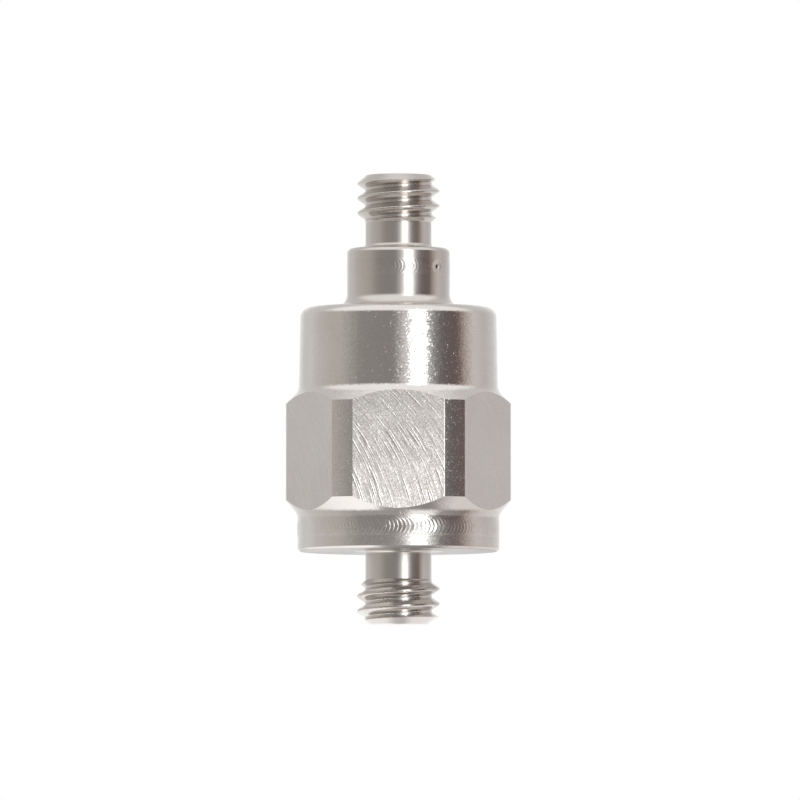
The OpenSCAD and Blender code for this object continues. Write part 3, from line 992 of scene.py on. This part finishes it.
def chip_finish(name, body, centre_x):
    material, tree, shader = blank_material(name)
    x, y, z = split(tree, node(tree, "ShaderNodeTexCoord").outputs["Object"])
    away = calc(tree, "ABSOLUTE", minus(tree, x, centre_x * MM))
    cap = calc(tree, "GREATER_THAN", away, CAP_FROM)
    grain = group(tree, GRAIN, Scale=12000.0, Slope=0.15)
    tree.links.new(tint(tree, cap, body, TINNED), shader.inputs["Base Color"])
    tree.links.new(cap, shader.inputs["Metallic"])
    tree.links.new(rescale(tree, grain["Mask"], 0.0, 1.0, 0.28, 0.42), shader.inputs["Roughness"])
    relief(tree, shader, grain["Tilt"])
    return material


INNER = {
    "glass_seal": clear("seal_glass", (0.22, 0.38, 0.36), (0.30, 0.46, 0.42), (0.04, 0.1), 0.7, 1.5),
    "circuit_board": matt("alumina", (0.86, 0.85, 0.80), (0.92, 0.91, 0.87), (0.5, 0.65)),
    "amplifier_chip": matt("chip_epoxy", (0.035, 0.035, 0.04), (0.06, 0.06, 0.065), (0.5, 0.7)),
    "preload_ring": matt("copper_alloy", (0.70, 0.46, 0.30), (0.80, 0.55, 0.36), (0.22, 0.34), 1.0),
    "bias_resistor": chip_finish("bias_film", (0.05, 0.05, 0.07), 1.2),
    "feedback_resistor": chip_finish("feedback_film", (0.06, 0.07, 0.11), 1.2),
    "range_capacitor": chip_finish("capacitor_ceramic", (0.55, 0.40, 0.27), -0.7),
}
crystal_finish = clear("lapped_crystal", (0.82, 0.86, 0.89), (0.90, 0.93, 0.95), (0.12, 0.24), 0.6, 1.6)
heavy_finish = matt("sintered_alloy", (0.33, 0.33, 0.34), (0.42, 0.42, 0.43), (0.3, 0.48), 1.0, 8000.0, 0.25)
for number in "123":
    INNER["crystal_" + number] = crystal_finish
    INNER["seismic_mass_" + number] = heavy_finish
for lead in ("signal_lead", "ground_lead", "output_lead"):
    INNER[lead] = GOLD
for name, material in INNER.items():
    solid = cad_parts[name]
    solid.data.materials.clear()
    solid.data.materials.append(material)
print("inner pieces dressed:", len(INNER))

# %% [markdown]
# Every new piece rides on the sensor's one rigid body; where it refines a CAD node's shape, that
# node is hidden. The table also lists a material slot of the record for each piece.

# %% Hand the pieces to the frame
STANDS_FOR = [
    (stud_base, "base", "body_metal"),
    (housing_body, "housing", "body_metal"),
    (jack_shell, "connector_shell", "jack_metal"),
    (plug_sleeve, "contact_insulator", "insulator_white"),
    (plug_socket, "contact_socket", "contact_gold"),
    (crystal_post, None, "body_metal"),
    (lower_weld, None, "body_metal"),
    (upper_weld, None, "body_metal"),
]
for piece, cad_node, slot in STANDS_FOR:
    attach(piece, "root")
    if cad_node:
        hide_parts(cad_node)
print("pieces handed over:", [piece.name for piece, cad_node, slot in STANDS_FOR])

# %% [markdown]
# The camera looks slightly up at the sensor through a long lens, so its verticals stay parallel. The
# image is square, and the sensor stands a little left of the middle.

# %% Camera
LOOK_UP = math.radians(2.8)
DISTANCE = 0.5
FRAME_WIDTH = 30.9 * MM
aim = Vector((0.06 * MM, 0.0, 5.86 * MM))
lens = bpy.data.cameras.new("camera")
lens.sensor_width = 36.0
lens.lens = lens.sensor_width * DISTANCE / FRAME_WIDTH
lens.clip_start = 0.01
lens.clip_end = 20.0
camera = bpy.data.objects.new("camera", lens)
bpy.context.scene.collection.objects.link(camera)
camera.location = aim + DISTANCE * Vector((0.0, -math.cos(LOOK_UP), -math.sin(LOOK_UP)))
camera.rotation_mode = "QUATERNION"
camera.rotation_quaternion = (aim - camera.location).to_track_quat("-Z", "Y")
bpy.context.scene.camera = camera
print("focal length in mm:", round(lens.lens))

# %% [markdown]
# Polished metal is mostly what it reflects, so the studio matters as much as the finish. Behind the
# sensor hangs a white backdrop, which the camera sees and the metal mirrors. In front is the dimmer
# room, with a dark screen on the right and a pale ceiling. The world's direction says which of these
# a ray meets. The angles are measured from the camera, positive to the right.

# %% Studio surroundings
ROOM = [
    (-180, 0.95, 0.95, 0.95), (-140, 0.74, 0.73, 0.72), (-124, 0.78, 0.765, 0.76),
    (-108, 0.665, 0.645, 0.615), (-84, 0.59, 0.56, 0.52), (-70, 0.56, 0.53, 0.50),
    (-45, 0.33, 0.31, 0.29), (-5, 0.29, 0.275, 0.265), (9, 0.82, 0.80, 0.78), (34, 0.70, 0.69, 0.68),
    (43, 0.30, 0.29, 0.29), (54, 0.16, 0.145, 0.145), (74, 0.17, 0.12, 0.11), (85, 0.54, 0.45, 0.42),
    (98, 0.76, 0.71, 0.68), (120, 0.64, 0.595, 0.59), (142, 0.73, 0.715, 0.71), (180, 0.95, 0.95, 0.95),
]
CEILING_FRONT = (1.14, 1.12, 1.10)
CEILING_BACK = (0.74, 0.72, 0.70)
CEILING_EDGE = (0.3, 0.62)
CEILING_TURN = (0.02, 0.4)
BACKDROP_EDGE = (0.85, 1.0)
BACKDROP_SHARE = 0.5


def all_round(tree, x, y, tones):
    turn = calc(tree, "ARCTAN2", x, times(tree, y, -1.0))
    ramp = node(tree, "ShaderNodeValToRGB", {"Fac": rescale(tree, turn, -math.pi, math.pi)})
    stops = ramp.color_ramp.elements
    while len(stops) < len(tones):
        stops.new(0.5)
    for stop, (angle, *tone) in zip(stops, tones):
        stop.position = (angle + 180) / 360
        stop.color = (*tone, 1.0)
    return ramp.outputs["Color"]


def studio_world():
    world = bpy.data.worlds.new("studio")
    world.use_nodes = True
    tree = world.node_tree
    tree.nodes.clear()
    x, y, z = split(tree, node(tree, "ShaderNodeTexCoord").outputs["Generated"])
    walls = all_round(tree, x, y, ROOM)
    up = rescale(tree, z, *CEILING_EDGE, shape="SMOOTHSTEP")
    ceiling = tint(tree, rescale(tree, y, *CEILING_TURN, shape="SMOOTHSTEP"), CEILING_FRONT, CEILING_BACK)
    room = node(tree, "ShaderNodeBackground", {"Color": blended(tree, up, walls, ceiling), "Strength": 1.0})
    white = node(tree, "ShaderNodeBackground", {"Color": (1.0, 1.0, 1.0, 1.0), "Strength": 1.0})
    path = node(tree, "ShaderNodeLightPath").outputs
    mirrored = calc(tree, "MAXIMUM", path["Is Glossy Ray"], path["Is Transmission Ray"])
    behind = rescale(tree, y, *BACKDROP_EDGE, 0.0, BACKDROP_SHARE, "SMOOTHSTEP")
    seen = calc(tree, "MAXIMUM", path["Is Camera Ray"], times(tree, mirrored, behind))
    both = node(tree, "ShaderNodeMixShader", {0: seen, 1: room.outputs[0], 2: white.outputs[0]})
    node(tree, "ShaderNodeOutputWorld", {"Surface": both.outputs[0]})
    return world


bpy.context.scene.world = studio_world()
print("studio room has", len(ROOM), "tones")

# %% [markdown]
# The main lamp is a tall soft box in front, a little to the right. Every upright round surface shows
# it as a narrow vertical stripe, which is the brightest mark on the sensor. An area lamp has the even
# face and the clear edges of a real box.

# %% Soft box
def area_lamp(name, energy, place, target, shape="RECTANGLE", **sizes):
    lamp = bpy.data.lights.new(name, "AREA")
    lamp.shape = shape
    lamp.energy = energy
    for size, value in sizes.items():
        setattr(lamp, size, value)
    stand = bpy.data.objects.new(name, lamp)
    bpy.context.scene.collection.objects.link(stand)
    stand.location = place
    stand.rotation_mode = "QUATERNION"
    stand.rotation_quaternion = (Vector(target) - stand.location).to_track_quat("-Z", "Y")
    stand.visible_camera = False
    return stand


def around(distance, angle, rise):
    flat = distance * math.cos(rise)
    return Vector((flat * math.sin(angle), -flat * math.cos(angle), distance * math.sin(rise)))


BOX_PLACE = around(0.4, math.radians(23.2), math.radians(2.8))
BOX_TARGET = (0, 0, 6 * MM)
soft_box = area_lamp("soft_box", 0.56, BOX_PLACE, BOX_TARGET, size=0.132, size_y=0.6)
print("lamp:", soft_box.name)

# %% [markdown]
# A second lamp stands high behind on the left. Its job is the floor: it throws the sensor's soft shadow
# forward to the right, and it is kept out of the mirror-like metal, as a photographer would do with a
# flag.

# %% Floor lamp
FLOOR_LAMP_PLACE = (-0.3, 0.3, 0.55)
floor_lamp = area_lamp("floor_lamp", 2.4, FLOOR_LAMP_PLACE, (0, 0, 0), "DISK", size=0.25)
floor_lamp.visible_glossy = False
print("lamp:", floor_lamp.name)

# %% [markdown]
# The floor is a plain pale sheet under the stud's end. The camera of the main view is a little below
# it, so the sheet lets rays through that come from below: its back is transparent, its front is matt
# and takes the sensor's shadow. Half of what the camera sees of it is plain white, which keeps the
# sheet as bright as the backdrop. What the metal mirrors of the sheet is mostly painted light: a glow
# whose tone is painted by direction. Close to the sensor it holds painted light on the left, painted
# shade in front, where the camera stands, and a painted pool of light under the stud. Farther off it
# holds a painted copy of the room's tones with a painted reflection of the soft box.

# %% Floor
FLOOR_HALF = 3.0
FIBRES_PER_METRE = 1500.0
SEEN_WHITE = 0.5
MIRRORED_SHARE = 0.85
CLOSE_BY = (6.5 * MM, 11 * MM)
UNDERNEATH = (1.7 * MM, 3 * MM)
# Painted light: tones of the glow that the metal sees in the floor, by direction around the sensor. Near:
# painted light on the left, painted shade in front. Far: the room's tones with a painted reflection of the
# soft box. Under: a painted pool of light round the stud.
NEAR_PAINTED_LIGHT = [
    (-180, 0.84, 0.82, 0.80), (-120, 1.10, 1.08, 1.06), (-50, 1.40, 1.38, 1.35), (-27, 1.40, 1.38, 1.35),
    (-12, 0.36, 0.345, 0.335), (34, 0.29, 0.275, 0.27), (58, 0.95, 0.88, 0.86), (120, 0.90, 0.86, 0.84),
    (180, 0.84, 0.82, 0.80),
]
FAR_PAINTED_LIGHT = [
    (-180, 0.95, 0.95, 0.95), (-112, 0.66, 0.64, 0.61), (-70, 0.56, 0.53, 0.50), (-45, 0.33, 0.31, 0.29),
    (4, 0.29, 0.275, 0.265), (14, 1.30, 1.28, 1.26), (35, 1.20, 1.18, 1.16), (44, 0.30, 0.29, 0.29),
    (74, 0.17, 0.12, 0.11), (85, 0.54, 0.45, 0.42), (98, 0.76, 0.71, 0.68), (180, 0.95, 0.95, 0.95),
]
PAINTED_POOL_UNDER = [
    (-180, 1.4, 1.38, 1.36), (-24, 1.4, 1.38, 1.36), (-5, 0.84, 0.82, 0.81), (9, 0.78, 0.76, 0.75),
    (26, 1.3, 1.27, 1.26), (180, 1.4, 1.38, 1.36),
]


def floor_sheet():
    mesh = bpy.data.meshes.new("floor")
    height = cad_box[0][2]
    sides = [(-1, -1), (1, -1), (1, 1), (-1, 1)]
    corners = [(x * FLOOR_HALF, y * FLOOR_HALF, height) for x, y in sides]
    mesh.from_pydata(corners, [], [(0, 1, 2, 3)])
    sheet = bpy.data.objects.new("floor", mesh)
    bpy.context.scene.collection.objects.link(sheet)
    material, tree, shader = blank_material("floor_paper_painted_glow")
    place = node(tree, "ShaderNodeTexCoord").outputs["Object"]
    fibre = noise(tree, place, FIBRES_PER_METRE, 3.0)["Fac"]
    tree.links.new(tint(tree, fibre, (0.93, 0.93, 0.925), (0.91, 0.91, 0.905)), shader.inputs["Base Color"])
    shader.inputs["Roughness"].default_value = 0.9
    shader.inputs["Specular IOR Level"].default_value = 0.1
    white = node(tree, "ShaderNodeEmission", {"Color": (1.0, 1.0, 1.0, 1.0), "Strength": 1.0}).outputs[0]
    path = node(tree, "ShaderNodeLightPath").outputs
    mirrored = calc(tree, "MAXIMUM", path["Is Glossy Ray"], path["Is Transmission Ray"])
    x, y, z = split(tree, place)
    seen = times(tree, path["Is Camera Ray"], SEEN_WHITE)
    paper = node(tree, "ShaderNodeMixShader", {0: seen, 1: shader.outputs[0], 2: white}).outputs[0]
    distance = distance_from_axis(tree, x, y)
    close = rescale(tree, distance, *CLOSE_BY, 1.0, 0.0, "SMOOTHSTEP")
    tone = all_round(tree, x, y, FAR_PAINTED_LIGHT)
    under = rescale(tree, distance, *UNDERNEATH, 1.0, 0.0, "SMOOTHSTEP")
    for share, tones in ((close, NEAR_PAINTED_LIGHT), (under, PAINTED_POOL_UNDER)):
        tone = blended(tree, share, tone, all_round(tree, x, y, tones))
    # The glow is painted light and shade: the metal mostly sees this tone instead of the lit paper.
    painted_glow = node(tree, "ShaderNodeEmission", {"Color": tone, "Strength": 1.0}).outputs[0]
    in_metal = times(tree, mirrored, MIRRORED_SHARE)
    paper = node(tree, "ShaderNodeMixShader", {0: in_metal, 1: paper, 2: painted_glow}).outputs[0]
    back = node(tree, "ShaderNodeNewGeometry").outputs["Backfacing"]
    see_through = node(tree, "ShaderNodeBsdfTransparent").outputs[0]
    one_sided = node(tree, "ShaderNodeMixShader", {0: back, 1: paper, 2: see_through}).outputs[0]
    tree.links.new(one_sided, tree.nodes["Material Output"].inputs["Surface"])
    mesh.materials.append(material)
    return sheet


floor = floor_sheet()
print("floor at", round(cad_box[0][2] / MM, 2), "mm")

# %% [markdown]
# Colours go to the image as they are, without a film curve.

# %% Finish
bpy.context.scene.view_settings.view_transform = "Standard"
